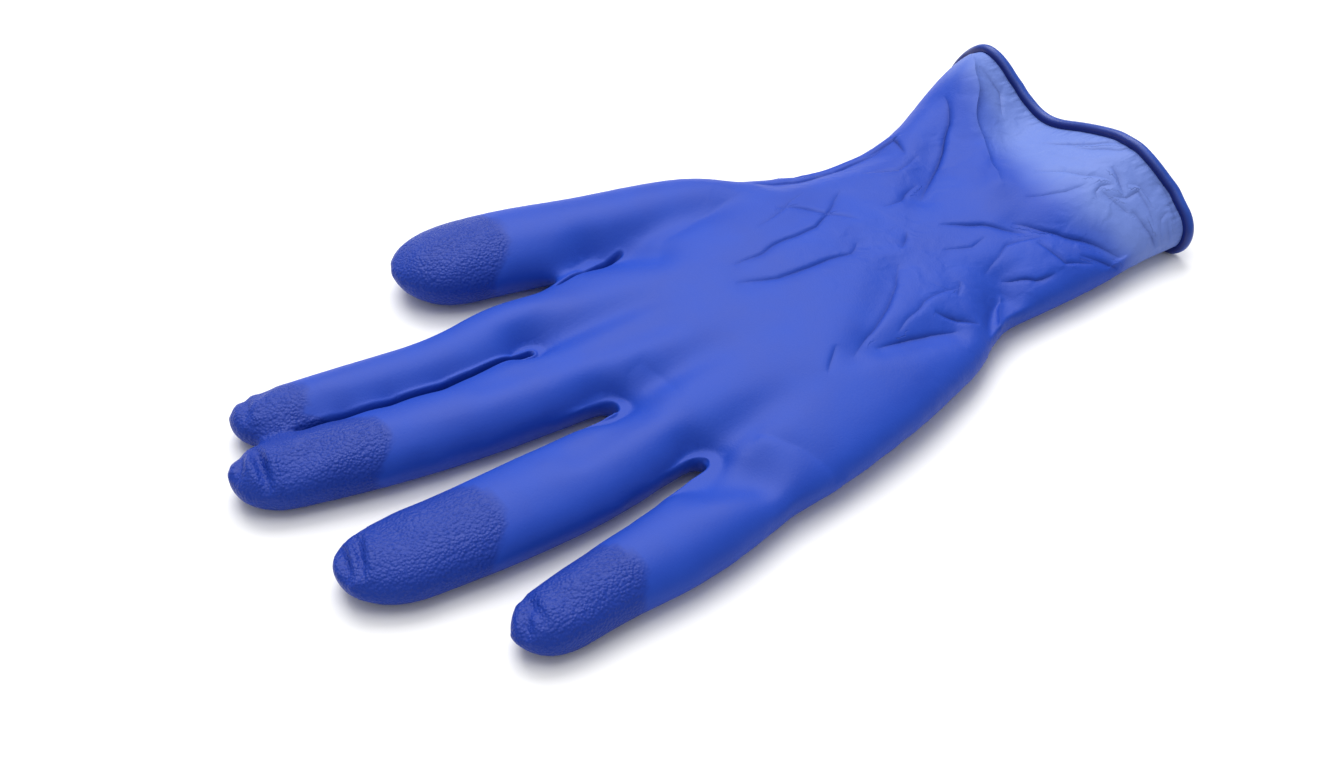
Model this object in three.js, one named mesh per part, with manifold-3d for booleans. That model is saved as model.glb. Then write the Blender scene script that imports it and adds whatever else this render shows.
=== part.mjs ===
// A dipped nitrile exam glove lying palm down on a table: five hollow fingers, a puffed
// palm, a narrower wrist and an open cuff whose edge is rolled into a round bead.
// Millimetres, +Z up. While it is modelled, x = 0 is the root of the middle finger, fingers
// point along -X, the cuff's mouth opens along +X and the thumb lies on the +Y side. At the
// end the group is moved so that the origin is the middle of the footprint, on the table.
import * as THREE from "three";
import { mergeVertices } from "three/addons/utils/BufferGeometryUtils.js";
import Module from "manifold-3d";

// Driving sizes
const filmWall = 1.0; // thickness of the modelled film
const beadDiameter = 2.8; // the rolled edge
const handLength = 149; // from the root of the middle finger to the cuff's rim
const palmWidth = 96; // across the knuckles, as it lies
const palmHeight = 15; // how far the trapped air lifts the palm
const fingerLength = 79; // the middle finger, from its root to its tip
const cuffHeight = 14; // the same at the rim, before its waves
const rimOverhang = 3.5; // how far the upper rim stands past the lower one
const rimSkew = 2.5; // how much further the rim reaches on the little finger's side
const webStart = 5; // where the web between the fingers begins, behind the middle finger's root
const webNose = 5; // length of the web's rounded front
const knuckleYaw = THREE.MathUtils.degToRad(14); // the web runs back towards the little finger

// One row per finger. long is a share of fingerLength, wide of palmWidth and tall of
// palmHeight; root is where it leaves the palm, as shares of handLength and palmWidth; lean
// (degrees) turns it towards the thumb side.
const fingerRows = [
  { name: "index", long: 0.873, wide: 0.175, tall: 0.747, root: [-0.007, 0.34], lean: 5.4 },
  { name: "middle", long: 1.0, wide: 0.208, tall: 0.833, root: [0.0, 0.128], lean: 8.5 },
  { name: "ring", long: 0.975, wide: 0.256, tall: 0.8, root: [0.027, -0.145], lean: 0.7 },
  { name: "little", long: 0.785, wide: 0.208, tall: 0.767, root: [0.067, -0.398], lean: -8.2 },
  { name: "thumb", long: 0.905, wide: 0.26, tall: 1.0, root: [0.362, 0.5], lean: 13.4 },
];
const fingers = fingerRows.map((row) => ({
  ...row,
  length: row.long * fingerLength,
  width: row.wide * palmWidth,
  height: row.tall * palmHeight,
}));

// Cross-sections of the fingers. at is a share of the finger's length, negative where it
// runs back inside the palm as a ridge; side bends the finger towards the thumb by a share of
// its width; width and height are shares of the finger's own.
const fingerSections = {
  index: [
    { at: -0.4, side: 0.0, width: 0.6, height: 0.95 },
    { at: 0.0, side: 0.0, width: 1.06, height: 1.08 },
    { at: 0.3, side: -0.14, width: 0.98, height: 1.0 },
    { at: 0.6, side: -0.09, width: 0.96, height: 0.95 },
    { at: 1.0, side: 0.04, width: 0.95, height: 0.8 },
  ],
  middle: [
    { at: -0.4, side: 0.0, width: 0.6, height: 0.92 },
    { at: 0.0, side: 0.0, width: 1.12, height: 1.04 },
    { at: 0.3, side: -0.15, width: 1.0, height: 1.0 },
    { at: 0.6, side: -0.15, width: 0.99, height: 0.94 },
    { at: 1.0, side: -0.01, width: 0.96, height: 0.78 },
  ],
  ring: [
    { at: -0.4, side: 0.0, width: 0.5, height: 0.95 },
    { at: 0.0, side: 0.0, width: 0.87, height: 1.06 },
    { at: 0.25, side: -0.065, width: 1.0, height: 1.02 },
    { at: 0.6, side: -0.08, width: 1.0, height: 0.96 },
    { at: 1.0, side: 0.0, width: 0.94, height: 0.78 },
  ],
  little: [
    { at: -0.45, side: 0.0, width: 0.68, height: 0.9 },
    { at: 0.0, side: 0.0, width: 1.18, height: 1.06 },
    { at: 0.3, side: -0.05, width: 1.1, height: 1.0 },
    { at: 0.65, side: 0.0, width: 0.93, height: 0.94 },
    { at: 1.0, side: 0.0, width: 0.9, height: 0.78 },
  ],
  thumb: [
    { at: -0.4, side: -0.5, width: 0.55, height: 0.8 },
    { at: -0.15, side: -0.2, width: 0.78, height: 0.92 },
    { at: 0.0, side: -0.07, width: 0.88, height: 0.97 },
    { at: 0.35, side: -0.04, width: 0.93, height: 0.97 },
    { at: 0.65, side: 0.0, width: 1.0, height: 0.94 },
    { at: 1.0, side: -0.02, width: 1.0, height: 0.8 },
  ],
};

// Cross-sections of palm, wrist and cuff. along runs from 0 at the web to 1 at the rim;
// thumbEdge and littleEdge are the two sides in plan, as shares of palmWidth; height is a
// share of the named height.
const handSections = [
  { along: 0.0, thumbEdge: 0.425, littleEdge: -0.508, tall: palmHeight, height: 0.86 },
  { along: 0.07, thumbEdge: 0.437, littleEdge: -0.497, tall: palmHeight, height: 0.92 },
  { along: 0.15, thumbEdge: 0.455, littleEdge: -0.476, tall: palmHeight, height: 0.96 },
  { along: 0.24, thumbEdge: 0.485, littleEdge: -0.449, tall: palmHeight, height: 1.0 },
  { along: 0.34, thumbEdge: 0.52, littleEdge: -0.418, tall: palmHeight, height: 1.0 },
  { along: 0.42, thumbEdge: 0.525, littleEdge: -0.385, tall: palmHeight, height: 0.96 },
  { along: 0.5, thumbEdge: 0.49, littleEdge: -0.345, tall: palmHeight, height: 0.9 },
  { along: 0.555, thumbEdge: 0.467, littleEdge: -0.295, tall: palmHeight, height: 0.86 },
  { along: 0.605, thumbEdge: 0.454, littleEdge: -0.264, tall: palmHeight, height: 0.84 },
  { along: 0.7, thumbEdge: 0.462, littleEdge: -0.26, tall: palmHeight, height: 0.83 },
  { along: 0.79, thumbEdge: 0.497, littleEdge: -0.257, tall: cuffHeight, height: 0.91 },
  { along: 0.87, thumbEdge: 0.547, littleEdge: -0.248, tall: cuffHeight, height: 0.95 },
  { along: 0.94, thumbEdge: 0.585, littleEdge: -0.243, tall: cuffHeight, height: 1.0 },
  { along: 1.0, thumbEdge: 0.605, littleEdge: -0.245, tall: cuffHeight, height: 1.02 },
];

// Waves of the upper rim. at is across the cuff, from -1 at the little finger's side to 1 at
// the thumb's; rise is a share of cuffHeight, spread a share of half the cuff's width.
const rimWaves = [
  { at: 0.8, rise: 0.56, spread: 0.24 },
  { at: 0.22, rise: -0.26, spread: 0.26 },
  { at: -0.52, rise: 0.42, spread: 0.36 },
];

// Main dents and folds of the upper film. from and to are shares of handLength (towards the
// cuff) and palmWidth (towards the thumb); width is a share of palmWidth, depth of
// palmHeight, end is how much of that depth is left at to, and a negative depth is a ridge.
const folds = [
  { name: "index_middle_valley", from: [-0.02, 0.245], to: [0.2, 0.185], width: 0.05, depth: 0.26, end: 0.1 },
  { name: "middle_ring_valley", from: [0.0, -0.02], to: [0.22, -0.035], width: 0.055, depth: 0.27, end: 0.1 },
  { name: "ring_little_valley", from: [0.06, -0.265], to: [0.24, -0.235], width: 0.05, depth: 0.24, end: 0.1 },
  { name: "index_knuckle_fold", from: [-0.13, 0.165], to: [0.15, 0.105], width: 0.04, depth: 0.08, end: 1 },
  { name: "ring_knuckle_fold", from: [-0.1, -0.14], to: [0.03, -0.105], width: 0.04, depth: 0.09, end: 1 },
  { name: "ring_little_hollow", from: [0.03, -0.35], to: [0.085, -0.4], width: 0.07, depth: 0.2, end: 1 },
  { name: "thumb_crotch_fold", from: [0.17, 0.44], to: [0.24, 0.34], width: 0.05, depth: 0.22, end: 0.6 },
  { name: "thumb_base_valley", from: [0.24, 0.42], to: [0.46, 0.42], width: 0.055, depth: 0.08, end: 0.6 },
  { name: "wrist_thumb_fold", from: [0.52, 0.43], to: [0.71, 0.4], width: 0.045, depth: 0.09, end: 1 },
  { name: "heel_fold", from: [0.31, 0.11], to: [0.52, 0.09], width: 0.04, depth: 0.08, end: 1 },
  { name: "heel_thumb_fold", from: [0.33, 0.18], to: [0.57, 0.29], width: 0.04, depth: 0.07, end: 1 },
  { name: "heel_little_fold", from: [0.35, -0.22], to: [0.53, -0.02], width: 0.04, depth: 0.08, end: 1 },
  { name: "little_side_fold", from: [0.4, -0.225], to: [0.52, -0.245], width: 0.045, depth: 0.12, end: 1.2 },
  { name: "wrist_notch", from: [0.62, -0.27], to: [0.66, -0.16], width: 0.05, depth: 0.3, end: 0.4 },
  { name: "cuff_thumb_fold", from: [0.68, 0.18], to: [0.87, 0.45], width: 0.045, depth: 0.13, end: 1 },
  { name: "cuff_long_fold", from: [0.76, -0.04], to: [0.86, -0.22], width: 0.045, depth: 0.14, end: 1 },
  { name: "cuff_ridge", from: [0.8, 0.1], to: [0.96, 0.52], width: 0.06, depth: -0.12, end: 1 },
];

// Short creases across the fingertips. at is a share of the finger's length, across a share
// of half its width, turn (degrees) its slant, and depth a share of the finger's height.
const tipCreases = [
  { finger: "index", at: 0.9, across: 0.2, turn: 60, length: 0.9, depth: 0.14 },
  { finger: "middle", at: 0.88, across: 0.1, turn: 75, length: 1.1, depth: 0.2 },
  { finger: "ring", at: 0.93, across: 0.15, turn: 70, length: 0.9, depth: 0.2 },
  { finger: "little", at: 0.92, across: 0.2, turn: 65, length: 0.8, depth: 0.16 },
];

// How finely each form is divided
const handRings = 32;
const handUpperSides = 28;
const handLowerSides = 8;
const fingerRings = 10;
const tipRings = 4;
const fingerSides = 16;
const beadSteps = 56;
const beadSides = 8;

const handSquareness = 2.5; // 2 is an ellipse, more is a flatter top with rounder shoulders
const handRestShare = 0.42; // height of the widest place of a hand section
const fingerRestShare = 0.45; // the same for a finger
const tipShare = 0.65; // length of a finger's rounded end, as a share of its width
const foldMargin = 2; // how much deeper a fold is on the inside, per millimetre of wall
const mouthRun = 4 * filmWall; // how far the hollow is cut out past the rim

const wasm = await Module();
wasm.setup();

const smoothstep = THREE.MathUtils.smoothstep;

// Reads a table of rows at place t with a smooth curve through its values.
function readTable(rows, key, t, value) {
  const last = rows.length - 1;
  let i = 0;
  while (i < last - 1 && rows[i + 1][key] < t) i++;
  const before = rows[Math.max(i - 1, 0)];
  const from = rows[i];
  const to = rows[i + 1];
  const after = rows[Math.min(i + 2, last)];
  const span = to[key] - from[key];
  const u = THREE.MathUtils.clamp((t - from[key]) / span, 0, 1);
  const slopeFrom = ((value(to) - value(before)) / (to[key] - before[key])) * span;
  const slopeTo = ((value(after) - value(from)) / (after[key] - from[key])) * span;
  const u2 = u * u;
  const u3 = u2 * u;
  return (
    (2 * u3 - 3 * u2 + 1) * value(from) +
    (u3 - 2 * u2 + u) * slopeFrom +
    (3 * u2 - 2 * u3) * value(to) +
    (u3 - u2) * slopeTo
  );
}

// Distance in plan from p to the stretch a-b, and the share of the stretch where it is met.
function reachStretch(p, a, b) {
  const run = b.clone().sub(a);
  const t = THREE.MathUtils.clamp(p.clone().sub(a).dot(run) / run.lengthSq(), 0, 1);
  return { away: p.distanceTo(a.clone().addScaledVector(run, t)), t };
}

const foldPlace = ([x, y]) => new THREE.Vector2(x * handLength, y * palmWidth);

// How far all the folds push the upper film down at a place in plan. Seen from inside they
// are a little wider and deeper, so that the film never thins on a steep side.
function foldDepth(x, y, inset) {
  const place = new THREE.Vector2(x, y);
  return folds.reduce((sum, fold) => {
    const { away, t } = reachStretch(place, foldPlace(fold.from), foldPlace(fold.to));
    const reach = away / (fold.width * palmWidth + Math.sign(fold.depth) * inset);
    const depth = fold.depth * palmHeight + inset * foldMargin * Math.abs(fold.depth);
    return sum + depth * (1 - t + t * fold.end) * Math.exp(-reach * reach);
  }, 0);
}

// Lets the folds act on the upper film only, and never push it below its widest place.
function pressUpperFilm(point, middle, inset) {
  if (point.z <= middle) return;
  const upper = smoothstep(point.z, middle, middle + palmHeight / 4);
  const pressed = point.z - upper * foldDepth(point.x, point.y, inset);
  const lowest = middle + 2 * filmWall - 1.9 * inset;
  point.z = Math.max(pressed, Math.min(point.z, lowest));
}

// A closed solid through rings of points, with each end closed to the ring's middle point.
function loft(rings) {
  const sides = rings[0].length;
  const points = rings.flat();
  const faces = [];
  for (let i = 0; i + 1 < rings.length; i++) {
    for (let k = 0; k < sides; k++) {
      const a = i * sides + k;
      const b = i * sides + ((k + 1) % sides);
      faces.push([a, b, b + sides], [a, b + sides, a + sides]);
    }
  }
  for (const [ring, turned] of [[0, true], [rings.length - 1, false]]) {
    const centre = new THREE.Vector3();
    rings[ring].forEach((p) => centre.addScaledVector(p, 1 / sides));
    const pole = points.push(centre) - 1;
    for (let k = 0; k < sides; k++) {
      const a = ring * sides + k;
      const b = ring * sides + ((k + 1) % sides);
      faces.push(turned ? [b, a, pole] : [a, b, pole]);
    }
  }
  return solidOf(points, faces);
}

// A manifold-3d solid from points and faces, turned so that its faces point out.
function solidOf(points, faces) {
  const geometry = new THREE.BufferGeometry().setFromPoints(points);
  geometry.setIndex(faces.flat());
  const merged = mergeVertices(geometry, 1e-4);
  const build = (triangles) =>
    new wasm.Manifold(
      new wasm.Mesh({
        numProp: 3,
        vertProperties: merged.attributes.position.array,
        triVerts: new Uint32Array(triangles),
      }),
    );
  const triangles = Array.from(merged.index.array);
  const made = build(triangles);
  if (made.volume() > 0) return made;
  for (let i = 0; i < triangles.length; i += 3) {
    [triangles[i + 1], triangles[i + 2]] = [triangles[i + 2], triangles[i + 1]];
  }
  return build(triangles);
}

// How much the rim's waves and overhang count at a station: nothing at the wrist, all at the rim.
const rimShare = (along) => smoothstep(along, 0.66, 1.0);

// Lift of the upper film near the rim, at a place across the cuff from -1 to 1.
function rimWave(across) {
  return rimWaves.reduce((sum, wave) => {
    const reach = (across - wave.at) / wave.spread;
    return sum + wave.rise * cuffHeight * Math.exp(-reach * reach);
  }, 0);
}

// One ring of the palm, wrist or cuff. inset is 0 for the outside of the film and filmWall
// for its inside; nose shrinks the ring to round off the web between the fingers, and ahead
// is how far that ring stands in front of the first section.
function handRing(along, inset, nose = 1, ahead = 0) {
  const read = (value) => readTable(handSections, "along", along, value);
  const thumbEdge = read((r) => r.thumbEdge) * palmWidth - inset;
  const littleEdge = read((r) => r.littleEdge) * palmWidth + inset;
  const tall = read((r) => r.height * r.tall);
  const half = (thumbEdge - littleEdge) / 2;
  const centre = (thumbEdge + littleEdge) / 2;
  const middle = handRestShare * tall;
  const rise = (tall - middle - inset) * nose;
  const yaw = knuckleYaw * (1 - smoothstep(along, 0, 0.5));
  const start = webStart + webNose;
  const share = rimShare(along);
  const power = 2 / handSquareness;
  const ring = [];
  for (let k = 0; k < handUpperSides + handLowerSides; k++) {
    const turn =
      k < handUpperSides
        ? (Math.PI * k) / handUpperSides
        : Math.PI + (Math.PI * (k - handUpperSides)) / handLowerSides;
    const c = Math.cos(turn);
    const s = Math.sin(turn);
    const across = Math.sign(c) * Math.abs(c) ** power;
    const lateral = across * half * (0.8 + 0.2 * nose);
    const lift = Math.sign(s) * Math.abs(s) ** power * rise;
    const point = new THREE.Vector3(
      start + along * (handLength - start) - ahead - lateral * Math.sin(yaw),
      centre + lateral * Math.cos(yaw),
      Math.max(middle + lift, inset),
    );
    pressUpperFilm(point, middle, inset);
    point.z += share * Math.max(0, lift / rise) * rimWave(across);
    point.x += share * (rimOverhang * (Math.min(point.z / cuffHeight, 1) - 1) - rimSkew * across);
    ring.push(point);
  }
  return ring;
}

// The rings of the whole hand, from the web's round nose to the rim, and past it when they
// are the hollow's.
function handForm(inset) {
  const rings = [];
  for (const turn of [0.1, 0.35, 0.62, 0.85]) {
    const angle = (turn * Math.PI) / 2;
    rings.push(handRing(0, inset, Math.sin(angle), (webNose - inset) * Math.cos(angle)));
  }
  for (let i = 0; i <= handRings; i++) rings.push(handRing(i / handRings, inset));
  if (inset > 0) rings.push(rings[rings.length - 1].map((p) => p.clone().setX(p.x + mouthRun)));
  return loft(rings);
}

// A finger's centre line in plan, s millimetres from its root.
function fingerPlace(finger, s) {
  const lean = THREE.MathUtils.degToRad(finger.lean);
  const rows = fingerSections[finger.name];
  const side = readTable(rows, "at", s / finger.length, (r) => r.side) * finger.width;
  return new THREE.Vector2(
    finger.root[0] * handLength - s * Math.cos(lean),
    finger.root[1] * palmWidth + s * Math.sin(lean) + side,
  );
}

// How far the tip creases press a finger's upper film at a place in plan.
function tipCreaseDepth(finger, place) {
  const own = tipCreases.filter((crease) => crease.finger === finger.name);
  return own.reduce((sum, crease) => {
    const middle = fingerPlace(finger, crease.at * finger.length);
    const heading = fingerPlace(finger, finger.length).sub(fingerPlace(finger, 0)).normalize();
    const side = new THREE.Vector2(-heading.y, heading.x);
    middle.addScaledVector(side, (-crease.across * finger.width) / 2);
    const run = heading.clone().rotateAround(new THREE.Vector2(), THREE.MathUtils.degToRad(crease.turn));
    const half = (crease.length * finger.width) / 4;
    const a = middle.clone().addScaledVector(run, -half);
    const b = middle.clone().addScaledVector(run, half);
    const reach = reachStretch(place, a, b).away / (0.12 * finger.width);
    return sum + crease.depth * finger.height * Math.exp(-reach * reach);
  }, 0);
}

// One ring of a finger, s millimetres from its root; round shrinks it towards the tip's pole.
function fingerRing(finger, s, inset, round) {
  const rows = fingerSections[finger.name];
  const at = s / finger.length;
  const width = finger.width * readTable(rows, "at", at, (r) => r.width);
  const tall = finger.height * readTable(rows, "at", at, (r) => r.height);
  const low = fingerRestShare + 0.4 * (1 - fingerRestShare) * (1 - round);
  const middle = low * tall;
  const half = (width / 2 - inset) * round;
  const rise = (tall * (1 - fingerRestShare) - inset) * round;
  const centre = fingerPlace(finger, s);
  const heading = fingerPlace(finger, s + 1).sub(fingerPlace(finger, s - 1)).normalize();
  const ring = [];
  for (let k = 0; k < fingerSides; k++) {
    const turn = (2 * Math.PI * k) / fingerSides;
    const lateral = Math.cos(turn) * half;
    const lift = Math.sin(turn) * rise;
    const point = new THREE.Vector3(
      centre.x - heading.y * lateral,
      centre.y + heading.x * lateral,
      Math.max(middle + lift, inset),
    );
    if (at < 0.3) pressUpperFilm(point, middle, inset);
    const pressed = tipCreaseDepth(finger, new THREE.Vector2(point.x, point.y)) * Math.max(0, Math.sin(turn));
    point.z = Math.max(point.z - pressed, inset);
    ring.push(point);
  }
  return ring;
}

// A whole finger as a closed solid, from inside the palm to its round tip.
function fingerForm(finger, inset) {
  const start = fingerSections[finger.name][0].at * finger.length;
  const tipLength = finger.width * tipShare - inset;
  const straight = finger.length - inset - tipLength;
  const rings = [];
  for (let i = 0; i < fingerRings; i++) {
    const s = start + ((straight - start) * i) / (fingerRings - 1);
    rings.push(fingerRing(finger, s, inset, 1));
  }
  for (let i = 1; i <= tipRings; i++) {
    const angle = ((Math.PI / 2) * i) / (tipRings + 0.4);
    rings.push(fingerRing(finger, straight + tipLength * Math.sin(angle), inset, Math.cos(angle)));
  }
  return loft(rings);
}

// The rolled edge: a round bead along the middle of the film's rim, never below the table.
function beadSolid() {
  const radius = beadDiameter / 2;
  const outside = handRing(1, 0);
  const inside = handRing(1, filmWall);
  const rim = outside.map((p, i) => {
    const middle = p.clone().lerp(inside[i], 0.5);
    middle.z = Math.max(middle.z, radius);
    return middle;
  });
  const path = new THREE.CatmullRomCurve3(rim, true, "centripetal");
  const frames = path.computeFrenetFrames(beadSteps, true);
  const points = [];
  const faces = [];
  for (let i = 0; i < beadSteps; i++) {
    const middle = path.getPointAt(i / beadSteps);
    for (let k = 0; k < beadSides; k++) {
      const turn = (2 * Math.PI * k) / beadSides;
      const point = middle
        .clone()
        .addScaledVector(frames.normals[i], Math.cos(turn) * radius)
        .addScaledVector(frames.binormals[i], Math.sin(turn) * radius);
      point.z = Math.max(point.z, 0);
      points.push(point);
      const next = ((i + 1) % beadSteps) * beadSides;
      const a = i * beadSides + k;
      const b = i * beadSides + ((k + 1) % beadSides);
      faces.push([a, b, next + (b % beadSides)], [a, next + (b % beadSides), next + k]);
    }
  }
  return solidOf(points, faces);
}

// Palm and fingers joined. Pinholes left where the forms meet are filled: only the largest
// closed surface is kept.
function gloveForm(inset) {
  const joined = fingers.reduce((form, finger) => form.add(fingerForm(finger, inset)), handForm(inset));
  return joined.decompose().sort((a, b) => b.volume() - a.volume())[0];
}

// The film is the outer form less the same form one wall thickness further in.
const filmSolid = () => gloveForm(0).subtract(gloveForm(filmWall)).add(beadSolid());

function meshFrom(solid, name, material) {
  const { numProp, vertProperties, triVerts } = solid.getMesh();
  const count = vertProperties.length / numProp;
  const places = new Float32Array(count * 3);
  for (let i = 0; i < count; i++) {
    places.set(vertProperties.subarray(i * numProp, i * numProp + 3), i * 3);
  }
  const geometry = new THREE.BufferGeometry();
  geometry.setAttribute("position", new THREE.BufferAttribute(places, 3));
  geometry.setIndex(new THREE.BufferAttribute(triVerts, 1));
  geometry.computeVertexNormals();
  const mesh = new THREE.Mesh(geometry, material);
  mesh.name = name;
  return mesh;
}

const nitrile = new THREE.MeshStandardMaterial({ color: 0x2f45b4, roughness: 0.55, metalness: 0 });

const glove = new THREE.Group();
glove.add(meshFrom(filmSolid(), "glove", nitrile));

// The origin is the middle of the footprint, on the table.
const box = new THREE.Box3().setFromObject(glove);
const middle = box.getCenter(new THREE.Vector3());
glove.position.set(-middle.x, -middle.y, -box.min.z);

export default glove;
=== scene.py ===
# %% [markdown]
# # A nitrile exam glove
# The glove lies palm down on a pale table. The imported model is loaded as a fixed frame in
# metres, and the thin film is made here in finer detail, in the place that the frame gives.
# The finished film may not outgrow it.

import math
from functools import partial

import bmesh
import bpy
import numpy as np
from mathutils import Matrix, Vector, noise


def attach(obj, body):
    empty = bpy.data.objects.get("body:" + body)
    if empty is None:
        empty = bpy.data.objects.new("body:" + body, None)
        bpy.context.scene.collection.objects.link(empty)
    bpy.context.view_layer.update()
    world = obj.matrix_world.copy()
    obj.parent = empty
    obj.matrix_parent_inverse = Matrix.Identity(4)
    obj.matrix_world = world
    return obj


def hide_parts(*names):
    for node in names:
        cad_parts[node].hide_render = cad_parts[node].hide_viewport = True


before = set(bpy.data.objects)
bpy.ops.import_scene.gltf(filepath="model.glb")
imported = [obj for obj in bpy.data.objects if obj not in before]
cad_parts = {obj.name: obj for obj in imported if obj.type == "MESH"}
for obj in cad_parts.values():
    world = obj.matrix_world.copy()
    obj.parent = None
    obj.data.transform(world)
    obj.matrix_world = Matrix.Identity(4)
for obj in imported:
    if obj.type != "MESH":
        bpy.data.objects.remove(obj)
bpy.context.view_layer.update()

# %% [markdown]
# ## The camera
# A long lens looks down on the glove from its fingertips' side, so the fingers come towards
# the viewer at the left and the cuff goes away at the right. Its place is worked out from a
# target on the table, two angles and a distance, which is easier to change than a point and
# three turns. The picture is 1344 by 768, and the focal length is in the same pixels.

# %% Camera
AZIMUTH, ELEVATION, ROLL = (math.radians(a) for a in (-35.74, 41.24, 1.98))
TARGET = Vector((-0.01481, -0.00476, 0.0))
DISTANCE, FOCAL_PIXELS, PICTURE_WIDTH = 0.5766, 2600.0, 1344.0

back = Vector((math.sin(AZIMUTH) * math.cos(ELEVATION),
               -math.cos(AZIMUTH) * math.cos(ELEVATION), math.sin(ELEVATION)))
side = Vector((math.cos(AZIMUTH), math.sin(AZIMUTH), 0.0))
up = back.cross(side)
right = math.cos(ROLL) * side + math.sin(ROLL) * up
above = -math.sin(ROLL) * side + math.cos(ROLL) * up

camera_data = bpy.data.cameras.new("camera")
camera_data.sensor_width = 36.0
camera_data.lens = FOCAL_PIXELS / PICTURE_WIDTH * camera_data.sensor_width
camera_data.clip_start, camera_data.clip_end = 0.05, 20.0
camera = bpy.data.objects.new("camera", camera_data)
turned = Matrix((right, above, back)).transposed().to_4x4()
camera.matrix_world = Matrix.Translation(TARGET + DISTANCE * back) @ turned
bpy.context.scene.collection.objects.link(camera)
bpy.context.scene.camera = camera
print("lens:", round(camera_data.lens, 2), "mm")

# %% [markdown]
# ## Table and light
# A white table and a soft studio light suit a satin film: one broad lamp from above and
# behind draws the long soft highlights, and the white surroundings fill the near sides. The
# Standard view keeps the blue as saturated as it is set.

# %% Table and light
def plain_material(name, colour, roughness):
    material = bpy.data.materials.new(name)
    material.use_nodes = True
    surface = material.node_tree.nodes["Principled BSDF"]
    surface.inputs["Base Color"].default_value = (*colour, 1.0)
    surface.inputs["Roughness"].default_value = roughness
    return material


def link_object(name, data):
    made = bpy.data.objects.new(name, data)
    bpy.context.scene.collection.objects.link(made)
    return made


floor_shape = bmesh.new()
bmesh.ops.create_grid(floor_shape, x_segments=1, y_segments=1, size=4.0)
floor_mesh = bpy.data.meshes.new("floor")
floor_shape.to_mesh(floor_mesh)
floor_shape.free()
floor_mesh.materials.append(plain_material("table_white", (0.9, 0.9, 0.905), 0.8))
floor = link_object("floor", floor_mesh)


def soft_lamp(name, place, target, size, power):
    lamp = bpy.data.lights.new(name, "AREA")
    lamp.shape = "RECTANGLE"
    lamp.size, lamp.size_y = size
    lamp.energy = power
    made = link_object(name, lamp)
    aim = (Vector(target) - Vector(place)).to_track_quat("-Z", "Y")
    made.matrix_world = Matrix.Translation(place) @ aim.to_matrix().to_4x4()
    return made


soft_lamp("lamp_behind", (0.35, 0.75, 1.0), (0.0, 0.0, 0.0), (1.3, 0.9), 17.0)
soft_lamp("lamp_above", (-0.2, 0.1, 1.3), (0.0, 0.0, 0.0), (1.0, 1.0), 7.0)

world = bpy.data.worlds.new("studio")
world.use_nodes = True
world.node_tree.nodes["Background"].inputs["Color"].default_value = (1.0, 1.0, 1.0, 1.0)
world.node_tree.nodes["Background"].inputs["Strength"].default_value = 0.55
bpy.context.scene.world = world
bpy.context.scene.view_settings.view_transform = "Standard"
bpy.context.scene.view_settings.look = "None"

# %% [markdown]
# ## Sizes of the hand
# A glove is easiest to describe as a maker would: how long and wide it is, and how each
# cross-section sits in it. The tables give shares of a few named sizes, in the frame of a
# hand with x = 0 at the middle finger's root, fingers towards -X and thumb towards +Y. A
# smooth curve is read through every table, so a few rows make a flowing form.

# %% Sizes and cross-sections
MM = 0.001
HAND_MIDDLE = np.array([36.98, 9.62, 0.0])  # from the hand's frame to the middle of its footprint
HAND_LENGTH, PALM_WIDTH, PALM_HEIGHT = 149.0, 96.0, 15.0
FINGER_LENGTH, CUFF_HEIGHT, BEAD_RADIUS = 79.0, 14.0, 1.4
RIM_OVERHANG, RIM_SKEW = 3.5, 2.5
WEB_START, WEB_NOSE, KNUCKLE_YAW = 5.0, 5.0, math.radians(14.0)
HAND_START = WEB_START + WEB_NOSE
HAND_SQUARENESS, HAND_REST, FINGER_REST, TIP_SHARE, TIP_RISE = 2.5, 0.42, 0.45, 0.65, 0.4

FINGERS = {  # long, wide, tall, root x, root y, lean in degrees
    "index": (0.873, 0.175, 0.747, -0.007, 0.34, 5.4),
    "middle": (1.0, 0.208, 0.833, 0.0, 0.128, 8.5),
    "ring": (0.975, 0.256, 0.8, 0.027, -0.145, 0.7),
    "little": (0.785, 0.208, 0.767, 0.067, -0.398, -8.2),
    "thumb": (0.905, 0.26, 1.0, 0.362, 0.5, 13.4),
}
FINGER_SECTIONS = {  # at, side, width, height
    "index": ((-0.4, 0, 0.6, 0.95), (0, 0, 1.06, 1.08), (0.3, -0.14, 0.98, 1),
              (0.6, -0.09, 0.96, 0.95), (1, 0.04, 0.95, 0.8)),
    "middle": ((-0.4, 0, 0.6, 0.92), (0, 0, 1.12, 1.04), (0.3, -0.15, 1, 1),
               (0.6, -0.15, 0.99, 0.94), (1, -0.01, 0.96, 0.78)),
    "ring": ((-0.4, 0, 0.5, 0.95), (0, 0, 0.87, 1.06), (0.25, -0.065, 1, 1.02),
             (0.6, -0.08, 1, 0.96), (1, 0, 0.94, 0.78)),
    "little": ((-0.45, 0, 0.68, 0.9), (0, 0, 1.08, 1.06), (0.3, -0.05, 1.09, 1),
               (0.65, 0, 0.93, 0.94), (1, 0, 0.9, 0.78)),
    "thumb": ((-0.4, -0.5, 0.55, 0.8), (-0.15, -0.2, 0.78, 0.92), (0, -0.07, 0.88, 0.97),
              (0.35, -0.04, 0.93, 0.97), (0.65, 0, 1, 0.94), (1, -0.02, 1, 0.8)),
}
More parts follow.
